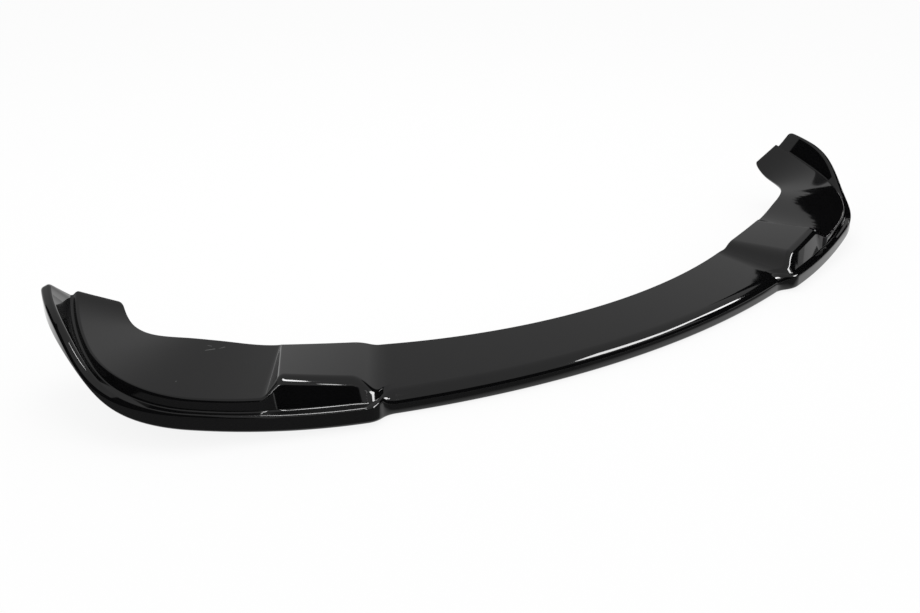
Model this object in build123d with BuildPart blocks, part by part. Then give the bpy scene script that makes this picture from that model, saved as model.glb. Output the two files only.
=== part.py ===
from build123d import *
import math
import os

# Front splitter lip: one sheet of black ABS, thermoformed and trimmed.
# Millimetres. +Z up, nose towards -Y, symmetric about X = 0, floor at Z = 0.

# Sheet
wall = 4.0
return_lip = 16.0
trim_clear = 6.0
deep = 60.0

# Centre band, turned about one upright axis so that its nose is a true arc
nose_front = 225.0
nose_radius = 1760.0
centre_depth = 117.0
centre_rear_radius = 1190.0
centre_rear_height = 53.0
centre_nose_height = 35.0
centre_nose_lean = 3.0
centre_nose_round = 17.0
centre_reach = 15.6

# Lower outline of each wing: front arc, corner arc, side arc
jog_x = 481.0
jog_y = -181.0
jog_heading = 14.6
front_radius = 1800.0
front_sweep = 9.0
corner_radius = 239.0
corner_sweep = 54.0
side_radius = 454.0
side_sweep = 18.3

# Rim: a bead round the outside, which sweeps up and steps up into a fin at the rear end
front_rise = 22.0
low_at_jog = 5.0
low_side_rise = 53.0
low_fin_rise = 66.0
low_fin_middle = 464.0
crest_at_jog = 35.0
crest_side_rise = 47.0
crest_fin_rise = 79.0
crest_fin_middle = 490.0
fin_ease = 29.0
tip_round = 8.0
crest_inset_front = 5.0
crest_inset_rear = 16.0
shoulder_inset = 2.5
shoulder_drop_front = 3.0
shoulder_drop_rear = 5.0

# Flange: the broad mounting face inside the rim
flange_start = 172.0
flange_edge_front = 67.0
flange_edge_rear = 155.0
flange_inset_front = 14.0
flange_inset_rear = 55.0
flange_wall_front = 21.0
flange_wall_rear = 7.0
flange_wall_run_front = 1.0
flange_wall_run_rear = 9.0
inner_start_x = 564.5
inner_start_y = 12.0
inner_heading = 22.0
inner_radius = 180.0
inner_end_x = 772.0
inner_heights = (77.0, 99.0, 92.0)
inner_stops = (0.0, 0.46, 0.77)
inner_flick = 27.0
flange_ribs = 14
tip_ribs = 3

# Raised pad between the centre band and the flange
pad_inner_at = 24.0
pad_outer_at = 142.0
pad_inner_turn = 115.2
pad_outer_turn = 109.6
pad_width = 163.0
pad_inset = 34.0
pad_inner_front = 72.0
pad_inner_rear = 65.0
pad_outer_front = 92.0
pad_outer_rear = 76.0
ledge = 11.0
ledge_rise = 1.0

# Ridge from the pad down to the jog in the nose
ridge_inset = 23.0
ridge_front = 47.0
ridge_rear = 58.0
ridge_width = 158.0
sunk_x = 435.0
sunk_y = -158.0
sunk_width = 112.0
sunk_depth = 10.0

# Roundings
edge_round = 6.0
pad_edge_round = 12.0
base_round = 4.0
crest_round = 3.0
shoulder_round = 4.0
lower_round = 6.0

front_length = front_radius * math.radians(front_sweep)
corner_length = corner_radius * math.radians(corner_sweep)
outline_length = front_length + corner_length + side_radius * math.radians(side_sweep)


def smooth(share):
    share = min(max(share, 0.0), 1.0)
    return share * share * (3.0 - 2.0 * share)


def between(front, rear, share):
    return front + (rear - front) * share


def outline(distance):
    """Point of the wing's lower outline, a distance along from the jog."""
    x, y, heading = jog_x, jog_y, math.radians(jog_heading)
    for radius, sweep in (
        (front_radius, front_sweep),
        (corner_radius, corner_sweep),
        (side_radius, side_sweep),
    ):
        turn = min(distance / radius, math.radians(sweep))
        x += radius * (math.sin(heading + turn) - math.sin(heading))
        y -= radius * (math.cos(heading + turn) - math.cos(heading))
        heading += turn
        distance -= radius * turn
    return x, y


def inner_edge(share):
    """Point of the flange's inner edge: a straight run, an arc, then straight back to the rear."""
    heading = math.radians(inner_heading)
    turn = math.pi / 2 - heading
    tangent = inner_radius * math.tan(turn / 2)
    run = (inner_end_x - inner_start_x) / math.cos(heading) - tangent
    arc_end = inner_start_y + run * math.sin(heading) + inner_radius * math.cos(heading)
    along = share * (run + inner_radius * turn + nose_front - arc_end)
    straight = min(along, run)
    turned = min(max(along - run, 0.0) / inner_radius, turn)
    x = inner_start_x + straight * math.cos(heading)
    y = inner_start_y + straight * math.sin(heading)
    x += inner_radius * (math.sin(heading + turned) - math.sin(heading))
    y += inner_radius * (math.cos(heading) - math.cos(heading + turned))
    return x, y + max(along - run - inner_radius * turn, 0.0)


def inner_height(share):
    """Height of the flange's inner edge, which rises, dips at the turn and rises again."""
    first, second, third = inner_stops
    start, crown, dip = inner_heights
    rise = (crown - start) * smooth((share - first) / (second - first))
    fall = (crown - dip) * smooth((share - second) / (third - second))
    flick = inner_flick * max((share - third) / (1.0 - third), 0.0) ** 3
    return start + rise - fall + flick


def tip_cut(distance):
    """How far the rounded corners at the rear end are cut back."""
    short = tip_round - min(outline_length - distance, tip_round)
    return tip_round - math.sqrt(tip_round**2 - short**2)


def rim_height(distance, start, side_rise, fin_rise, fin_middle):
    """Height of the rim's crest or lower edge: a sweep up along the front and side, and the fin's step."""
    past_front = max(distance - front_length, 0.0) / (outline_length - front_length)
    return (
        start
        + front_rise * min(distance / front_length, 1.0) ** 2
        + side_rise * past_front
        + fin_rise / (1.0 + math.exp((fin_middle - distance) / fin_ease))
    )


def rib_plane(x, y, turn):
    """Upright plane through the nose, with its first axis pointing inwards."""
    inward = Vector(math.cos(math.radians(turn)), math.sin(math.radians(turn)), 0)
    return Plane(origin=(x, y, 0), x_dir=inward, z_dir=inward.cross(Vector(0, 0, 1)))


def rim_skin(distance):
    """The bead's part of a cross-section: crest, shoulder, lower edge and return lip."""
    low = rim_height(distance, low_at_jog, low_side_rise, low_fin_rise, low_fin_middle)
    crest = rim_height(distance, crest_at_jog, crest_side_rise, crest_fin_rise, crest_fin_middle)
    crest -= tip_cut(distance)
    rear_share = smooth((distance - front_length) / corner_length)
    return [
        (between(crest_inset_front, crest_inset_rear, rear_share), crest),
        (shoulder_inset, crest - between(shoulder_drop_front, shoulder_drop_rear, rear_share)),
        (0.0, low),
        (return_lip, low),
    ]


def flange_rib(share):
    """A cross-section of the wing, from the pad (share 0) to the rear end (share 1)."""
    distance = between(flange_start, outline_length, share)
    x, y = outline(distance)
    inner_x, inner_y = inner_edge(share)
    swell = share**1.6
    inset = between(flange_inset_front, flange_inset_rear, swell)
    height = between(flange_edge_front, flange_edge_rear, swell)
    base = (
        inset - between(flange_wall_run_front, flange_wall_run_rear, share),
        height - between(flange_wall_front, flange_wall_rear, swell),
    )
    inner = (math.hypot(inner_x - x, inner_y - y) - tip_cut(distance), inner_height(share))
    turn = math.degrees(math.atan2(inner_y - y, inner_x - x))
    skin = [inner, (inset, height), base] + rim_skin(distance)
    return rib_plane(x, y, turn), skin, edge_round


def pad_rib(distance, turn, width, rear_height, inset, front_height):
    """A cross-section with the ledge below a raised front wall."""
    rim = rim_skin(distance)
    base = (min(crest_inset_front + ledge, inset - ledge), rim[0][1] + ledge_rise)
    skin = [(width, rear_height), (inset, front_height), base] + rim
    return rib_plane(*outline(distance), turn), skin, pad_edge_round


def sunk_rib():
    """The pad's skin where it has sunk inside the centre band."""
    top = centre_nose_height - sunk_depth
    skin = [
        (sunk_width, centre_rear_height - sunk_depth / 2),
        (ridge_inset, top),
        (ridge_inset - ledge, top - wall),
        (crest_inset_front, top - wall),
        (shoulder_inset, top - wall - shoulder_drop_front),
        (0.0, low_at_jog),
        (return_lip, low_at_jog),
    ]
    return rib_plane(sunk_x, sunk_y, pad_inner_turn), skin, edge_round


def inset_skin(skin):
    """The skin moved inwards by the wall, for the hollow side of the sheet."""
    normals = []
    for start, end in zip(skin, skin[1:]):
        run, rise = end[0] - start[0], end[1] - start[1]
        length = math.hypot(run, rise)
        normals.append((-rise / length, run / length))
    moved = []
    for point, before, after in zip(skin, normals[:1] + normals, normals + normals[-1:]):
        reach = wall / (1.0 + before[0] * after[0] + before[1] * after[1])
        moved.append((point[0] + reach * (before[0] + after[0]), point[1] + reach * (before[1] + after[1])))
    (x0, z0), (x1, z1) = moved[0], moved[1]
    moved[0] = (x0 + trim_clear, z0 + trim_clear * (z0 - z1) / (x0 - x1))
    return moved


def closed_face(plane, skin, rounds, floor, lip_clear):
    """Face between a skin and a level line below it."""
    closing = [(return_lip + lip_clear, floor), (skin[0][0], floor)]
    with BuildSketch(plane) as face:
        with BuildLine():
            FilletPolyline(*skin, *closing, radius=[0.0, *rounds, 0.0, 0.0, 0.0], close=True)
        make_face()
    return face.sketch


def wing_face(plane, skin, top_round, hollow):
    """A wing's cross-section: the filled body, or the hollow under the sheet."""
    lowest = min(height for _, height in skin)
    if hollow:
        return closed_face(plane, inset_skin(skin), [0.0] * (len(skin) - 2), lowest - deep, 0.0)
    rounds = [top_round, base_round, crest_round, shoulder_round, lower_round]
    return closed_face(plane, skin, rounds, lowest - 3 * wall, wall)


def centre_face(hollow):
    """The centre band's cross-section on the plane X = 0."""
    slope = (centre_rear_height - centre_nose_height) / (centre_depth - centre_nose_lean)
    far = centre_depth + 2 * return_lip + deep
    skin = [
        (far, centre_nose_height + slope * (far - centre_nose_lean)),
        (centre_nose_lean, centre_nose_height),
        (0.0, 0.0),
        (return_lip, 0.0),
    ]
    plane = rib_plane(0, -nose_front, 90)
    if hollow:
        rounds = [centre_nose_round - wall, lower_round - wall]
        return closed_face(plane, inset_skin(skin), rounds, -deep, 0.0)
    return closed_face(plane, skin, [centre_nose_round, lower_round], -3 * wall, wall)


ridge = pad_rib(0.0, pad_inner_turn, ridge_width, ridge_rear, ridge_inset, ridge_front)
pad_inner = pad_rib(pad_inner_at, pad_inner_turn, pad_width, pad_inner_rear, pad_inset, pad_inner_front)
pad_outer = pad_rib(pad_outer_at, pad_outer_turn, pad_width, pad_outer_rear, pad_inset, pad_outer_front)
tip_share = tip_round / (outline_length - flange_start)
tip_angles = [math.pi / 2 * step / tip_ribs for step in range(1, tip_ribs + 1)]
flange_shares = [(1.0 - tip_share) * step / (flange_ribs - 1) for step in range(flange_ribs)]
flange_shares += [1.0 - tip_share * (1.0 - math.sin(angle)) for angle in tip_angles]
flange = [flange_rib(share) for share in flange_shares]


def body(hollow):
    """The lip as a filled block, or the hollow that leaves the sheet."""
    with BuildPart() as block:
        revolve(
            centre_face(hollow),
            axis=Axis((0, nose_radius - nose_front, 0), (0, 0, 1)),
            revolution_arc=centre_reach,
        )
        if not hollow:
            with BuildSketch(Plane.XY):
                with Locations((0, centre_depth - nose_front + centre_rear_radius)):
                    Circle(centre_rear_radius)
            extrude(amount=2 * deep, both=True, mode=Mode.SUBTRACT)
        faces = [wing_face(*rib, hollow) for rib in (sunk_rib(), ridge, pad_inner, pad_outer, flange[0])]
        for first, second in zip(faces, faces[1:]):
            loft([first, second], ruled=True)
        loft([wing_face(*rib, hollow) for rib in flange], ruled=True)
        mirror(about=Plane.YZ)
    return block.part


with BuildPart() as splitter_lip:
    add(body(hollow=False))
    add(body(hollow=True), mode=Mode.SUBTRACT)

splitter_lip.part.label = "splitter_lip"
os.makedirs("parts", exist_ok=True)
export_step(splitter_lip.part, "parts/splitter_lip.step")
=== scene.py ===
import math

import bpy
import numpy as np
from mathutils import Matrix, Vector


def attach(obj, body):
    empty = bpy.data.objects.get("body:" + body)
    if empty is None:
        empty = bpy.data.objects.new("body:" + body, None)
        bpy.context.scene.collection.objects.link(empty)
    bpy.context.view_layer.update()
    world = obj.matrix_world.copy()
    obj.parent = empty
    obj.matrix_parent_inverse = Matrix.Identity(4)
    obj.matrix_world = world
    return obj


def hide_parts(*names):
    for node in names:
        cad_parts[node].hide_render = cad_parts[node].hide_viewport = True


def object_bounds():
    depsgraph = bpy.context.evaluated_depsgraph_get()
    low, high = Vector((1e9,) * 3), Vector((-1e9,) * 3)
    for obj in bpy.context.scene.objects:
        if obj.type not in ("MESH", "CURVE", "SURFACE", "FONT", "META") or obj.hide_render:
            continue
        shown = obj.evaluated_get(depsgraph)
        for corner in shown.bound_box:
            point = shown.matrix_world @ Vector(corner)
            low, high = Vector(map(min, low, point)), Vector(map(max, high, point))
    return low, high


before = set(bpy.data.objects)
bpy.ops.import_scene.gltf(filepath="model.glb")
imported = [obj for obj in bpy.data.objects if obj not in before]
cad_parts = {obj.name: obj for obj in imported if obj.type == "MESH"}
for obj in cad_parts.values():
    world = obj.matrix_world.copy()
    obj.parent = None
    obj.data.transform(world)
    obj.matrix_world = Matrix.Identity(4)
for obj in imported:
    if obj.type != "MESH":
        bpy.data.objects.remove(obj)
cad_low, cad_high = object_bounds()
scene = bpy.context.scene
scene.view_settings.view_transform = "Standard"

# Splitter lip: one sheet of black ABS, softened by heat, drawn over a mould and trimmed all round.
# It is gloss outside and open behind, with a bead along its outer rim that steps up into a fin.
# It hangs under a bumper by its rear edge and its two flanges, and nothing is fastened to it.

wall = 0.004
return_lip = 0.016
trim_round = 0.0007

# The centre band.
nose_front = 0.225
nose_radius = 1.760
centre_depth = 0.117
centre_rear_radius = 1.190
centre_rear_height = 0.053
centre_nose_height = 0.035
centre_nose_lean = 0.003
centre_nose_round = 0.026
centre_join_x = 0.452

# A wing's outline from the jog in the nose: the radius and sweep of its front, corner and side.
jog = (0.481, -0.181)
jog_heading = math.radians(14.6)
outline_arcs = (
    (1.800, math.radians(9.0)),
    (0.239, math.radians(54.0)),
    (0.454, math.radians(18.3)),
)
front_length, corner_length, side_length = (radius * sweep for radius, sweep in outline_arcs)
outline_length = front_length + corner_length + side_length

# The bead. Its lower edge and crest rise along the wing and step up at the fin.
# A pair holds the value at the front and the one at the rear.
front_rise = 0.022
low_at_jog = 0.005
low_side_rise = 0.053
low_fin_rise = 0.066
low_fin_middle = 0.464
crest_at_jog = 0.035
crest_side_rise = 0.047
crest_fin_rise = 0.079
crest_fin_middle = 0.490
fin_ease = 0.029
tip_round = 0.008
crest_inset = (0.005, 0.016)
shoulder_inset = 0.0025
shoulder_drop = (0.003, 0.005)

# The flange, its front edge and its inner edge.
flange_start = 0.172
flange_swell = 1.6
flange_edge = (0.067, 0.155)
flange_inset = (0.014, 0.055)
flange_wall = (0.021, 0.007)
flange_wall_run = (0.001, 0.009)
inner_start = np.array((0.5645, 0.012))
inner_heading = math.radians(22.0)
inner_radius = 0.180
inner_end_x = 0.772
inner_heights = (0.077, 0.099, 0.092)
inner_stops = (0.0, 0.46, 0.77)
inner_flick = 0.027

# The pad, the ledge below its wall and the ridge that it grows from at the jog.
# Their heights are those of the rear and of the front edge.
pad_inner_at = 0.024
pad_outer_at = 0.142
pad_inner_turn = math.radians(115.2)
pad_outer_turn = math.radians(109.6)
pad_width = 0.163
pad_inset = 0.034
pad_inner_heights = (0.065, 0.072)
pad_outer_heights = (0.076, 0.092)
ledge = 0.011
ledge_rise = 0.001
ridge_inset = 0.023
ridge_width = 0.158
ridge_heights = (0.058, 0.047)

# Roundings of the edges along the sheet, and how far the creases across it are eased.
edge_round = 0.006
pad_edge_round = 0.018
base_round = 0.004
crest_round = (0.003, 0.006)
shoulder_round = (0.004, 0.007)
lower_round = 0.006
inner_crease_ease = 0.012
outer_crease_ease = 0.006
ease_samples = 9


def smooth(share):
    """A share from 0 to 1 that starts and ends gently."""
    share = min(max(share, 0.0), 1.0)
    return share * share * (3.0 - 2.0 * share)


def between(ends, share):
    """The value that lies a share of the way from one end to the other."""
    return ends[0] + (ends[1] - ends[0]) * share


def outline(distance):
    """Point of the wing's lower outline, a distance along from the jog."""
    x, y = jog
    heading = jog_heading
    for radius, sweep in outline_arcs:
        turn = min(distance / radius, sweep)
        x += radius * (math.sin(heading + turn) - math.sin(heading))
        y -= radius * (math.cos(heading + turn) - math.cos(heading))
        heading += turn
        distance -= radius * turn
    return np.array((x, y))


def inner_edge(share):
    """Point of the flange's inner edge: a straight run, an arc, then straight back to the rear."""
    turn = math.pi / 2 - inner_heading
    run = (inner_end_x - inner_start[0]) / math.cos(inner_heading) - inner_radius * math.tan(turn / 2)
    first = np.array((math.cos(inner_heading), math.sin(inner_heading)))
    arc_start = inner_start + run * first
    arc_end_y = arc_start[1] + inner_radius * math.cos(inner_heading)
    along = share * (run + inner_radius * turn + nose_front - arc_end_y)
    if along <= run:
        return inner_start + along * first
    turned = inner_heading + min((along - run) / inner_radius, turn)
    across = inner_radius * (math.sin(turned) - math.sin(inner_heading))
    back = inner_radius * (math.cos(inner_heading) - math.cos(turned))
    return arc_start + (across, back + max(along - run - inner_radius * turn, 0.0))


def inner_height(share):
    """Height of the flange's inner edge, which rises, dips at the turn and rises again."""
    first, second, third = inner_stops
    start, crown, dip = inner_heights
    rise = (crown - start) * smooth((share - first) / (second - first))
    fall = (crown - dip) * smooth((share - second) / (third - second))
    flick = inner_flick * max((share - third) / (1.0 - third), 0.0) ** 3
    return start + rise - fall + flick


def tip_cut(distance):
    """How far the rounded corners at the rear end are cut back."""
    short = tip_round - min(outline_length - distance, tip_round)
    return tip_round - math.sqrt(tip_round**2 - short**2)


def rim_height(distance, start, side_rise, fin_rise, fin_middle):
    """Height of the bead's crest or lower edge: a sweep along the front and side, and the fin's step."""
    past_front = max(distance - front_length, 0.0) / (outline_length - front_length)
    sweep = front_rise * min(distance / front_length, 1.0) ** 2 + side_rise * past_front
    return start + sweep + fin_rise / (1.0 + math.exp((fin_middle - distance) / fin_ease))


def rear_share(distance):
    """How far the bead has changed to its rear form, which it takes on round the corner."""
    return smooth((distance - front_length) / corner_length)


def rim_skin(distance):
    """The bead's corners: crest, shoulder, lower edge and the end of the return lip."""
    low = rim_height(distance, low_at_jog, low_side_rise, low_fin_rise, low_fin_middle)
    crest = rim_height(distance, crest_at_jog, crest_side_rise, crest_fin_rise, crest_fin_middle)
    crest -= tip_cut(distance)
    inset = between(crest_inset, rear_share(distance))
    shoulder = crest - between(shoulder_drop, rear_share(distance))
    return [(inset, crest), (shoulder_inset, shoulder), (0.0, low), (return_lip, low)]


def pad_row(distance, turn, width, heights, inset):
    """A pad rib's turn, its rear, edge and base corners, and the rounding of its edge."""
    base_height = rim_skin(distance)[0][1] + ledge_rise
    base_inset = min(crest_inset[0] + ledge, inset - ledge)
    return [turn, width, heights[0], inset, heights[1], base_inset, base_height, pad_edge_round]


def flange_row(distance):
    """A flange rib's turn, its rear, edge and base corners, and the rounding of its edge."""
    share = (distance - flange_start) / (outline_length - flange_start)
    swell = share**flange_swell
    across = inner_edge(share) - outline(distance)
    inset = between(flange_inset, swell)
    height = between(flange_edge, swell)
    rear = [np.linalg.norm(across) - tip_cut(distance), inner_height(share)]
    base = [inset - between(flange_wall_run, share), height - between(flange_wall, swell)]
    return [math.atan2(across[1], across[0])] + rear + [inset, height] + base + [edge_round]


pad_stops = (0.0, pad_inner_at, pad_outer_at, flange_start)
pad_rows = np.array([
    pad_row(0.0, pad_inner_turn, ridge_width, ridge_heights, ridge_inset),
    pad_row(pad_inner_at, pad_inner_turn, pad_width, pad_inner_heights, pad_inset),
    pad_row(pad_outer_at, pad_outer_turn, pad_width, pad_outer_heights, pad_inset),
    flange_row(flange_start),
])


def sheet_loop(nose, turn, skin, rounds):
    """Closed corners of one cross-section, down the outer face and back up the inner one."""
    skin = np.array(skin)
    runs = np.diff(skin, axis=0)
    normals = np.column_stack([-runs[:, 1], runs[:, 0]]) / np.linalg.norm(runs, axis=1)[:, None]
    before = np.vstack([normals[:1], normals])
    after = np.vstack([normals, normals[-1:]])
    inner = skin + wall * (before + after) / (1.0 + np.sum(before * after, axis=1))[:, None]
    across = np.vstack([skin, inner[::-1]])
    inward = np.array((math.cos(turn), math.sin(turn)))
    corners = np.column_stack([nose + across[:, :1] * inward, across[:, 1]])
    inner_rounds = [max(size - wall, trim_round) for size in rounds[::-1]]
    return corners, np.array(list(rounds) + inner_rounds)


def wing_loop(distance):
    """Cross-section of a wing, a distance along from the jog."""
    if distance < flange_start:
        row = [np.interp(distance, pad_stops, column) for column in pad_rows.T]
    else:
        row = flange_row(distance)
    turn, *upper, upper_round = row
    skin = [upper[:2], upper[2:4], upper[4:]] + rim_skin(distance)
    bead_rounds = [between(ends, rear_share(distance)) for ends in (crest_round, shoulder_round)]
    rounds = [trim_round, upper_round, base_round, *bead_rounds, lower_round, trim_round]
    return sheet_loop(outline(distance), turn, skin, rounds)


centre_swing = math.asin(centre_join_x / nose_radius)
centre_axis = np.array((0.0, nose_radius - nose_front))
centre_rear_axis = np.array((0.0, centre_depth - nose_front + centre_rear_radius))
centre_slope = (centre_rear_height - centre_nose_height) / (centre_depth - centre_nose_lean)


def centre_loop(share):
    """Cross-section of the centre band, from the middle (share 0) to the jog (share 1)."""
    swing = centre_swing * share
    turn = math.pi / 2 + (pad_inner_turn - math.pi / 2) * share
    nose = centre_axis + nose_radius * np.array((math.sin(swing), -math.cos(swing)))
    inward = np.array((math.cos(turn), math.sin(turn)))
    near = nose_radius * math.cos(turn - math.pi / 2 - swing)

    def point(offset, height):
        """Corner at a height, where this rib is an offset inside the nose's arc."""
        return near - math.sqrt(near**2 - offset * (2 * nose_radius - offset)), height

    def top(offset):
        """Corner on the band's upper face."""
        return point(offset, centre_nose_height + centre_slope * (offset - centre_nose_lean))

    from_rear = nose - centre_rear_axis
    along = -from_rear @ inward
    width = along - math.sqrt(along**2 - from_rear @ from_rear + centre_rear_radius**2)
    rear_offset = nose_radius - np.linalg.norm(nose + width * inward - centre_axis)
    flat = math.atan(centre_slope)
    lean = math.atan(centre_nose_lean / centre_nose_height)
    bend = math.pi / 2 - flat - lean
    cut = centre_nose_round * (math.tan(bend / 2) - math.tan(bend / 4))
    shoulder = point(centre_nose_lean - cut * math.sin(lean), centre_nose_height - cut * math.cos(lean))
    skin = [
        top(rear_offset),
        top(ridge_inset + ledge),
        top(ridge_inset),
        top(centre_nose_lean + cut * math.cos(flat)),
        shoulder,
        (0.0, 0.0),
        (return_lip, 0.0),
    ]
    nose_rounds = [centre_nose_round, centre_nose_round]
    rounds = [trim_round, edge_round, base_round, *nose_rounds, lower_round, trim_round]
    return sheet_loop(nose, turn, skin, rounds)


lower_corner = 5
centre_run = nose_radius * centre_swing
join_run = np.linalg.norm(np.array(jog) - centre_loop(1.0)[0][lower_corner][:2])


def rib(place):
    """Cross-section at a place along the sheet: 0 is the jog, and the centre band lies below it."""
    if place >= 0.0:
        return wing_loop(place)
    if place <= -join_run:
        return centre_loop(max(1.0 + (place + join_run) / centre_run, 0.0))
    share = 1.0 + place / join_run
    return [(1.0 - share) * a + share * b for a, b in zip(centre_loop(1.0), wing_loop(0.0))]


def eased_rib(place):
    """A rib averaged with its neighbours, which rounds the creases that run across the sheet."""
    outer_share = smooth((place - pad_inner_at) / (pad_outer_at - pad_inner_at))
    spread = between((inner_crease_ease, outer_crease_ease), outer_share)
    spread = min(spread, outline_length - place, place + join_run + centre_run)
    near = [rib(place + spread * step) for step in np.linspace(-1.0, 1.0, ease_samples)]
    corners = np.mean([corners for corners, _ in near], axis=0)
    rounds = np.mean([rounds for _, rounds in near], axis=0)
    return corners, rounds


centre_rib_count = 56
pad_rib_count = 172
flange_rib_count = 150
pad_from = -2 * join_run
pad_to = flange_start + join_run
rear_trim = outline_length - trim_round
places = np.concatenate([
    np.linspace(-join_run - centre_run, pad_from, centre_rib_count, endpoint=False),
    np.linspace(pad_from, pad_to, pad_rib_count, endpoint=False),
    np.linspace(pad_to, rear_trim, flange_rib_count, endpoint=False),
    [rear_trim, outline_length],
])
right_ribs = [eased_rib(place) for place in places]
end_corners, end_rounds = right_ribs[-1]
right_ribs.append(((end_corners + end_corners[::-1]) / 2, (end_rounds + end_rounds[::-1]) / 2))
left_ribs = [(corners * (-1, 1, 1), rounds) for corners, rounds in right_ribs[:0:-1]]

rib_curves = bpy.data.curves.new("ribs", "CURVE")
rib_curves.dimensions = "3D"
for corners, rounds in left_ribs + right_ribs:
    spline = rib_curves.splines.new("POLY")
    spline.points.add(len(corners) - 1)
    spline.points.foreach_set("co", np.column_stack([corners, np.ones(len(corners))]).ravel())
    spline.points.foreach_set("radius", rounds)
    spline.use_cyclic_u = True
ribs = bpy.data.objects.new("ribs", rib_curves)
scene.collection.objects.link(ribs)


def add_node(tree, kind, *inputs, **settings):
    """A node with its settings, and with its sockets in use linked or set in their order."""
    node = tree.nodes.new(kind)
    for name, value in settings.items():
        setattr(node, name, value)
    for socket, value in zip([s for s in node.inputs if s.enabled], inputs):
        if isinstance(value, bpy.types.NodeSocket):
            tree.links.new(value, socket)
        elif value is not None:
            socket.default_value = value
    return node


# The finish. A grain is the scale and the detail of a noise, which lies mostly within its span.
sheet_ior = 1.48
grain_span = (0.3, 0.7)
gloss_grain = (9.0, 3.0)
gloss_roughness = (0.035, 0.060)
satin_roughness = 0.34
scratch_roughness = 0.45
tone_grain = (26.0, 4.0)
black_tones = (0.0026, 0.0034)
blue_cast = 1.07
scratch_colour = (0.10, 0.10, 0.10, 1.0)
wave_grain = (7.0, 2.0)
wave_height = 0.0003

# The start, end and width of each scratch on the left flange. The last one is a speck.
scratches = (
    ((-0.683, 0.030, 0.092), (-0.668, 0.030, 0.090), 0.0012),
    ((-0.662, 0.029, 0.090), (-0.651, 0.031, 0.088), 0.0010),
    ((-0.676, 0.041, 0.093), (-0.671, 0.038, 0.092), 0.0010),
    ((-0.746, -0.029, 0.085), (-0.745, -0.028, 0.085), 0.0012),
)


def gloss_black():
    """Gloss black sheet: a faint wave, satin on the mould's side, small scratches on the left flange."""
    material = bpy.data.materials.new("gloss_black")
    material.use_nodes = True
    tree = material.node_tree
    shader = tree.nodes["Principled BSDF"]
    shader.inputs["IOR"].default_value = sheet_ior
    place = tree.nodes.new("ShaderNodeTexCoord").outputs["Object"]

    def ramp(value, start, end, low, high):
        return add_node(tree, "ShaderNodeMapRange", value, start, end, low, high).outputs["Result"]

    def noise(scale, detail):
        return add_node(tree, "ShaderNodeTexNoise", place, scale, detail).outputs["Fac"]

    def most(first, second):
        return add_node(tree, "ShaderNodeMath", first, second, operation="MAXIMUM").outputs[0]

    def vector(operation, first, second):
        return add_node(tree, "ShaderNodeVectorMath", first, second, operation=operation).outputs

    def scratch(start, end, width):
        """1 on the line between two points of the sheet, falling to 0 at its width."""
        line = Vector(end) - Vector(start)
        heading = line.normalized()
        offset = vector("SUBTRACT", place, start)["Vector"]
        along = vector("DOT_PRODUCT", offset, heading)["Value"]
        held = ramp(along, 0.0, line.length, 0.0, line.length)
        foot = vector("SCALE", heading, held)["Vector"]
        away = vector("DISTANCE", offset, foot)["Value"]
        return ramp(away, 0.0, width, 1.0, 0.0)

    marks = scratch(*scratches[0])
    for other in scratches[1:]:
        marks = most(marks, scratch(*other))
    gloss = ramp(noise(*gloss_grain), *grain_span, *gloss_roughness)
    mould_side = add_node(tree, "ShaderNodeAttribute", attribute_name="mould_side").outputs["Fac"]
    satin = ramp(mould_side, 0.0, 1.0, 0.0, satin_roughness)
    worn = ramp(marks, 0.0, 1.0, 0.0, scratch_roughness)
    tree.links.new(most(most(gloss, satin), worn), shader.inputs["Roughness"])

    clouds = add_node(tree, "ShaderNodeValToRGB", noise(*tone_grain))
    for stop, tone in zip(clouds.color_ramp.elements, black_tones):
        stop.color = (tone, tone, tone * blue_cast, 1.0)
    black = clouds.outputs["Color"]
    mixed = add_node(tree, "ShaderNodeMix", marks, black, scratch_colour, data_type="RGBA")
    colour = next(socket for socket in mixed.outputs if socket.enabled)
    tree.links.new(colour, shader.inputs["Base Color"])

    wave = tree.nodes.new("ShaderNodeBump")
    wave.inputs["Distance"].default_value = wave_height
    tree.links.new(noise(*wave_grain), wave.inputs["Height"])
    tree.links.new(wave.outputs["Normal"], shader.inputs["Normal"])
    return material


round_segments = 6
seam_gap = 1e-6


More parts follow.
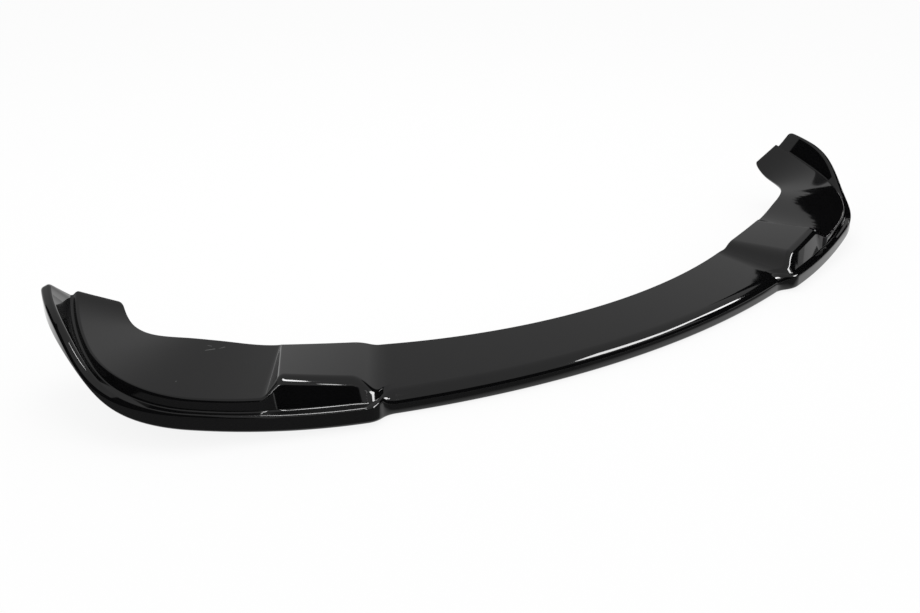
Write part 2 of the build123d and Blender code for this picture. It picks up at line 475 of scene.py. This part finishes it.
def sheet_tree():
    """Geometry nodes that round each rib's corners and skin the ribs into one closed sheet."""
    tree = bpy.data.node_groups.new("formed_sheet", "GeometryNodeTree")
    sockets = (
        ("Geometry", "INPUT", "NodeSocketGeometry"),
        ("Ribs", "INPUT", "NodeSocketObject"),
        ("Round Segments", "INPUT", "NodeSocketInt"),
        ("Sheet Material", "INPUT", "NodeSocketMaterial"),
        ("Geometry", "OUTPUT", "NodeSocketGeometry"),
    )
    for name, side, kind in sockets:
        tree.interface.new_socket(name, in_out=side, socket_type=kind)

    def add(kind, *inputs, **settings):
        return add_node(tree, "GeometryNode" + kind, *inputs, **settings).outputs

    def whole(operation, *values):
        return add_node(tree, "FunctionNodeIntegerMath", *values, operation=operation).outputs[0]

    def at_least(first, second):
        test = {"data_type": "INT", "operation": "GREATER_EQUAL"}
        return add_node(tree, "FunctionNodeCompare", first, second, **test).outputs[0]

    given = tree.nodes.new("NodeGroupInput").outputs
    source = add("ObjectInfo", given["Ribs"])["Geometry"]
    radius = add("InputRadius")[0]
    rounded = add("FilletCurve", source, given["Round Segments"], radius, True, mode="POLY")[0]
    counts = add("AttributeDomainSize", rounded, component="CURVE")
    around = whole("DIVIDE", counts["Point Count"], counts["Spline Count"])
    row = whole("ADD", around, 1)
    grid = add("MeshGrid", 1.0, 1.0, counts["Spline Count"], row)["Mesh"]
    index = add("InputIndex")[0]
    rib_index = whole("DIVIDE_FLOOR", index, row)
    corner_index = whole("MODULO", whole("MODULO", index, row), around)
    picked = whole("ADD", whole("MULTIPLY", rib_index, around), corner_index)
    place = add("InputPosition")[0]
    moved = add("SampleIndex", rounded, place, picked, data_type="FLOAT_VECTOR", domain="POINT")[0]
    skinned = add("SetPosition", grid, None, moved)[0]
    inside = at_least(corner_index, whole("DIVIDE", around, 2))
    marked = add("StoreNamedAttribute", skinned, None, "mould_side", inside)[0]
    closed = add("MergeByDistance", marked, None, seam_gap)[0]
    outward = add("FlipFaces", closed)[0]
    shaded = add("SetShadeSmooth", outward)[0]
    real = add("RealizeInstances", shaded)[0]
    finished = add("SetMaterial", real, None, given["Sheet Material"])[0]
    add_node(tree, "NodeGroupOutput", finished)
    return tree


builder = bpy.data.objects.new("sheet_builder", bpy.data.meshes.new("sheet_builder"))
scene.collection.objects.link(builder)
forming = builder.modifiers.new("forming", "NODES")
forming.node_group = sheet_tree()
settings = {"Ribs": ribs, "Round Segments": round_segments, "Sheet Material": gloss_black()}
for item in forming.node_group.interface.items_tree:
    if item.in_out == "INPUT" and item.name in settings:
        forming[item.identifier] = settings[item.name]
builder.modifiers.new("shading", "WEIGHTED_NORMAL")
evaluated = builder.evaluated_get(bpy.context.evaluated_depsgraph_get())
lip = bpy.data.objects.new("formed_lip", bpy.data.meshes.new_from_object(evaluated))
scene.collection.objects.link(lip)
bpy.data.objects.remove(builder)
bpy.data.objects.remove(ribs)
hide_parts("splitter_lip")
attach(lip, "root")

# Floor: a plain white sheet of board under the part, which takes its shadow. It isn't part of the object.
# Seen by the camera it is mostly its own white, so its tone hardly depends on the lamps.

plain_white = (1.0, 1.0, 1.0, 1.0)
floor_half = 12.0
floor_height = -0.0003
floor_board = (0.9, 0.9, 0.9, 1.0)
floor_own_white = 0.86
floor_signs = ((-1, -1), (1, -1), (1, 1), (-1, 1))
floor_corners = [(x * floor_half, y * floor_half, floor_height) for x, y in floor_signs]
floor_mesh = bpy.data.meshes.new("floor")
floor_mesh.from_pydata(floor_corners, [], [(0, 1, 2, 3)])
floor = bpy.data.objects.new("floor", floor_mesh)
scene.collection.objects.link(floor)


def seen_directly(tree):
    """1 for rays from the camera, a glossy surface or a clear one, and 0 for the rest."""
    path = tree.nodes.new("ShaderNodeLightPath").outputs
    seen = path["Is Camera Ray"]
    for name in ("Is Glossy Ray", "Is Transmission Ray"):
        seen = add_node(tree, "ShaderNodeMath", seen, path[name], operation="MAXIMUM").outputs[0]
    return seen


def bare_paint(name):
    """A material of the stage whose surface is still to be linked."""
    paint = bpy.data.materials.new(name)
    paint.use_nodes = True
    paint.node_tree.nodes.remove(paint.node_tree.nodes["Principled BSDF"])
    return paint


def link_surface(tree, node):
    """Makes a node's result the surface of its material."""
    tree.links.new(node.outputs[0], tree.nodes["Material Output"].inputs["Surface"])


floor_paint = bare_paint("floor_paint")
floor_tree = floor_paint.node_tree
board = add_node(floor_tree, "ShaderNodeBsdfDiffuse", floor_board).outputs[0]
white = add_node(floor_tree, "ShaderNodeEmission", plain_white).outputs[0]
floor_seen = seen_directly(floor_tree)
own_white = add_node(floor_tree, "ShaderNodeMath", floor_seen, floor_own_white, operation="MULTIPLY")
link_surface(floor_tree, add_node(floor_tree, "ShaderNodeMixShader", own_white.outputs[0], board, white))
floor_mesh.materials.append(floor_paint)

# Backdrop and room: a white background, and the plain grey room that the gloss sheet mirrors.
# The room is brighter low at the back. Only mirrored rays see it, so it adds no light to the part.

backdrop_light = 0.85
backdrop_white = 1.0
world = bpy.data.worlds.new("backdrop")
world.use_nodes = True
world_tree = world.node_tree
backdrop = world_tree.nodes["Background"]
backdrop.inputs["Color"].default_value = plain_white
backdrop_strength = add_node(world_tree, "ShaderNodeMapRange", seen_directly(world_tree))
backdrop_strength.inputs["To Min"].default_value = backdrop_light
backdrop_strength.inputs["To Max"].default_value = backdrop_white
world_tree.links.new(backdrop_strength.outputs[0], backdrop.inputs["Strength"])
scene.world = world

room_radius = 6.5
room_level = 0.57
room_low_level = 1.5
room_low_span = (0.08, 0.26)
room_back = (0.35, 0.94, 0.0)
room_back_span = (0.5, 0.85)
bpy.ops.mesh.primitive_uv_sphere_add(segments=64, ring_count=32, radius=room_radius)
room = bpy.context.object
room.name = "room"
room_paint = bare_paint("room_paint")
room_tree = room_paint.node_tree
room_place = room_tree.nodes.new("ShaderNodeTexCoord").outputs["Object"]


def room_ramp(direction, span, levels):
    """A smooth change of level as a point of the room lies more towards a direction."""
    way = Vector(direction).normalized() / room_radius
    dot = add_node(room_tree, "ShaderNodeVectorMath", room_place, way, operation="DOT_PRODUCT")
    towards = dot.outputs["Value"]
    ease = {"interpolation_type": "SMOOTHSTEP"}
    return add_node(room_tree, "ShaderNodeMapRange", towards, *span, *levels, **ease).outputs["Result"]


def only_mirrored(thing):
    """Lets a thing of the stage be seen by mirrored rays alone."""
    thing.visible_camera = False
    thing.visible_diffuse = False
    thing.visible_shadow = False


low_part = room_ramp((0.0, 0.0, 1.0), room_low_span, (room_low_level - room_level, 0.0))
back_part = room_ramp(room_back, room_back_span, (0.0, 1.0))
room_glow = add_node(
    room_tree, "ShaderNodeMath", low_part, back_part, room_level, operation="MULTIPLY_ADD"
)
link_surface(room_tree, add_node(room_tree, "ShaderNodeEmission", None, room_glow.outputs[0]))
room.data.materials.append(room_paint)
only_mirrored(room)

# Black screens: cloth on frames at the left, far left, front and right of the part, and a cloth on the
# floor that stops short of the nose and thins out there. They keep the part's upright faces black, as in
# the photograph. The right one steps and leans out above the part, and its far edge is ragged.

screen_black = bpy.data.materials.new("screen_black")
screen_black.use_nodes = True
screen_tree = screen_black.node_tree
screen_cloth = screen_tree.nodes["Principled BSDF"]
screen_cloth.inputs["Base Color"].default_value = (0.0, 0.0, 0.0, 1.0)
screen_cloth.inputs["Roughness"].default_value = 1.0
screen_cloth.inputs["Specular IOR Level"].default_value = 0.0
screen_cover = add_node(screen_tree, "ShaderNodeAttribute", attribute_name="cover").outputs["Fac"]
screen_gap = screen_tree.nodes.new("ShaderNodeBsdfTransparent").outputs[0]
screen_mix = add_node(
    screen_tree, "ShaderNodeMixShader", screen_cover, screen_gap, screen_cloth.outputs[0]
)
link_surface(screen_tree, screen_mix)


def screen(name, rows, covers):
    """A black sheet through rows of points, with how dense the cloth is at each row."""
    mesh = bpy.data.meshes.new(name)
    width = len(rows[0])
    starts = [row * width + step for row in range(len(rows) - 1) for step in range(width - 1)]
    faces = [(start, start + 1, start + width + 1, start + width) for start in starts]
    mesh.from_pydata([tuple(point) for row in rows for point in row], [], faces)
    cover = mesh.attributes.new("cover", "FLOAT", "POINT")
    cover.data.foreach_set("value", np.repeat(np.array(covers, dtype=float), width))
    mesh.materials.append(screen_black)
    thing = bpy.data.objects.new(name, mesh)
    scene.collection.objects.link(thing)
    only_mirrored(thing)


def upright_screen(name, feet, heights):
    """A dense screen that stands on the floor, with the height of its top above each foot."""
    bottom = [(*foot, 0.0) for foot in feet]
    top = [(*foot, height) for foot, height in zip(feet, heights)]
    screen(name, [bottom, top], (1.0, 1.0))


upright_screen("left_screen", feet=((-1.35, -2.0), (-1.35, 0.45)), heights=(1.6, 1.6))
upright_screen("far_left_screen", feet=((-3.0, 0.7), (-2.8, 2.6)), heights=(3.8, 2.8))
upright_screen("front_screen", feet=((-1.35, -2.2), (3.5, -2.2)), heights=(0.9, 0.9))

# The right screen's far edge strays along X, and by right_screen_back times as much along Y.
# Each of its rags is the size, rate and start of a wave.
right_screen_heights = (0.15, 2.15)
right_screen_row_count = 160
right_screen_edge = (2.505, 1.135)
right_screen_posts = ((3.6, -0.1), (3.5, -2.5))
right_screen_foot = 0.07
right_screen_step = (1.17, 1.27)
right_screen_lean = 0.09
right_screen_back = -1.6
right_screen_rags = ((0.005, 47, 0), (0.003, 113, 1), (0.002, 211, 0))


def ragged(height):
    """How far the right screen's far edge strays, a height above the floor."""
    return sum(size * math.sin(rate * height + start) for size, rate, start in right_screen_rags)


right_screen_rows = []
for z in np.linspace(*right_screen_heights, right_screen_row_count):
    step_share = (z - right_screen_step[0]) / (right_screen_step[1] - right_screen_step[0])
    stray = ragged(z) - right_screen_foot * (1.0 - smooth(step_share))
    stray += right_screen_lean * max(z - right_screen_step[1], 0.0)
    edge_x, edge_y = right_screen_edge
    far_edge = (edge_x + stray, edge_y + right_screen_back * stray, z)
    right_screen_rows.append([far_edge] + [(*post, z) for post in right_screen_posts])
screen("right_screen", right_screen_rows, np.ones(len(right_screen_rows)))

# The floor cloth's pairs are its values at the left end of the part and at the right end.
floor_cloth_height = 0.001
floor_cloth_middle = (0.0, 0.45)
floor_cloth_gap = (0.008, 0.045)
floor_cloth_fade = (0.012, 0.080)
floor_cloth_reach = (1.5, 0.4)
floor_cloth_covers = (0.0, 0.85, 0.85)
floor_cloth_growth = 3
cloth_rows = [[], [], []]
for corners, _ in left_ribs + right_ribs:
    nose = corners[lower_corner][:2]
    outward = (nose - floor_cloth_middle) / np.linalg.norm(nose - floor_cloth_middle)
    right_share = (nose[0] + cad_high[0]) / (2 * cad_high[0])
    grown = right_share**floor_cloth_growth
    start = between(floor_cloth_gap, grown)
    dense = start + between(floor_cloth_fade, grown)
    reaches = (start, dense, between(floor_cloth_reach, right_share))
    for row, reach in zip(cloth_rows, reaches):
        row.append((*(nose + reach * outward), floor_cloth_height))
screen("floor_cloth", cloth_rows, floor_cloth_covers)

# Lamps: a soft lamp overhead that lights the part and the floor at a plain level.
# Four softboxes draw the bright lines on rounded edges: the ledge, the left pad, the nose and the
# right flange. They show in the gloss alone and add no other light.


def softbox(name, place, aim, width, height, brightness):
    """An oval lamp turned to its aim, which looks as bright whatever its size is."""
    data = bpy.data.lights.new(name, "AREA")
    data.shape = "ELLIPSE"
    data.size = width
    data.size_y = height
    data.energy = brightness * math.pi * width * height * math.pi / 4
    lamp = bpy.data.objects.new(name, data)
    lamp.location = place
    lamp.rotation_euler = (Vector(place) - Vector(aim)).to_track_quat("Z", "Y").to_euler()
    lamp.visible_camera = False
    scene.collection.objects.link(lamp)
    return lamp


# Each lamp's name, place, aim, width, height and brightness.
overhead_lamp = ("main_lamp", (0.0, 0.6, 3.0), (0.0, 0.0, 0.0), 2.0, 2.0, 2.8)
edge_lamps = (
    ("ledge_softbox", (-0.55, -0.95, 2.3), (-0.55, -0.1, 0.0), 0.3, 1.2, 25.0),
    ("pad_softbox", (-0.70, -2.5, 1.6), (-0.60, -0.1, 0.0), 0.13, 0.4, 18.0),
    ("nose_softbox", (1.865, -1.57, 1.40), (0.28, 0.10, 0.0), 2.06, 0.55, 19.0),
    ("flange_softbox", (2.735, 0.09, 0.81), (0.75, -0.05, 0.08), 0.42, 0.12, 9.0),
)
softbox(*overhead_lamp).visible_glossy = False
for edge_lamp in edge_lamps:
    softbox(*edge_lamp).visible_diffuse = False

# Camera: where the photograph was taken from, worked out from the part's mirrored edges.
# Its focal length is in pixels, as is the photograph's width, and its fall is the angle below level.

photo_width = 920
photo_focal_length = 850
camera_place = (-0.9185, -1.2091, 0.7956)
camera_azimuth = math.radians(-29.91)
camera_fall = math.radians(27.62)
camera_data = bpy.data.cameras.new("camera")
camera_data.sensor_width = 36.0
camera_data.lens = camera_data.sensor_width * photo_focal_length / photo_width
camera = bpy.data.objects.new("camera", camera_data)
camera.location = camera_place
forward = Vector((
    -math.sin(camera_azimuth) * math.cos(camera_fall),
    math.cos(camera_azimuth) * math.cos(camera_fall),
    -math.sin(camera_fall),
))
camera.rotation_euler = forward.to_track_quat("-Z", "Y").to_euler()
scene.collection.objects.link(camera)
scene.camera = camera
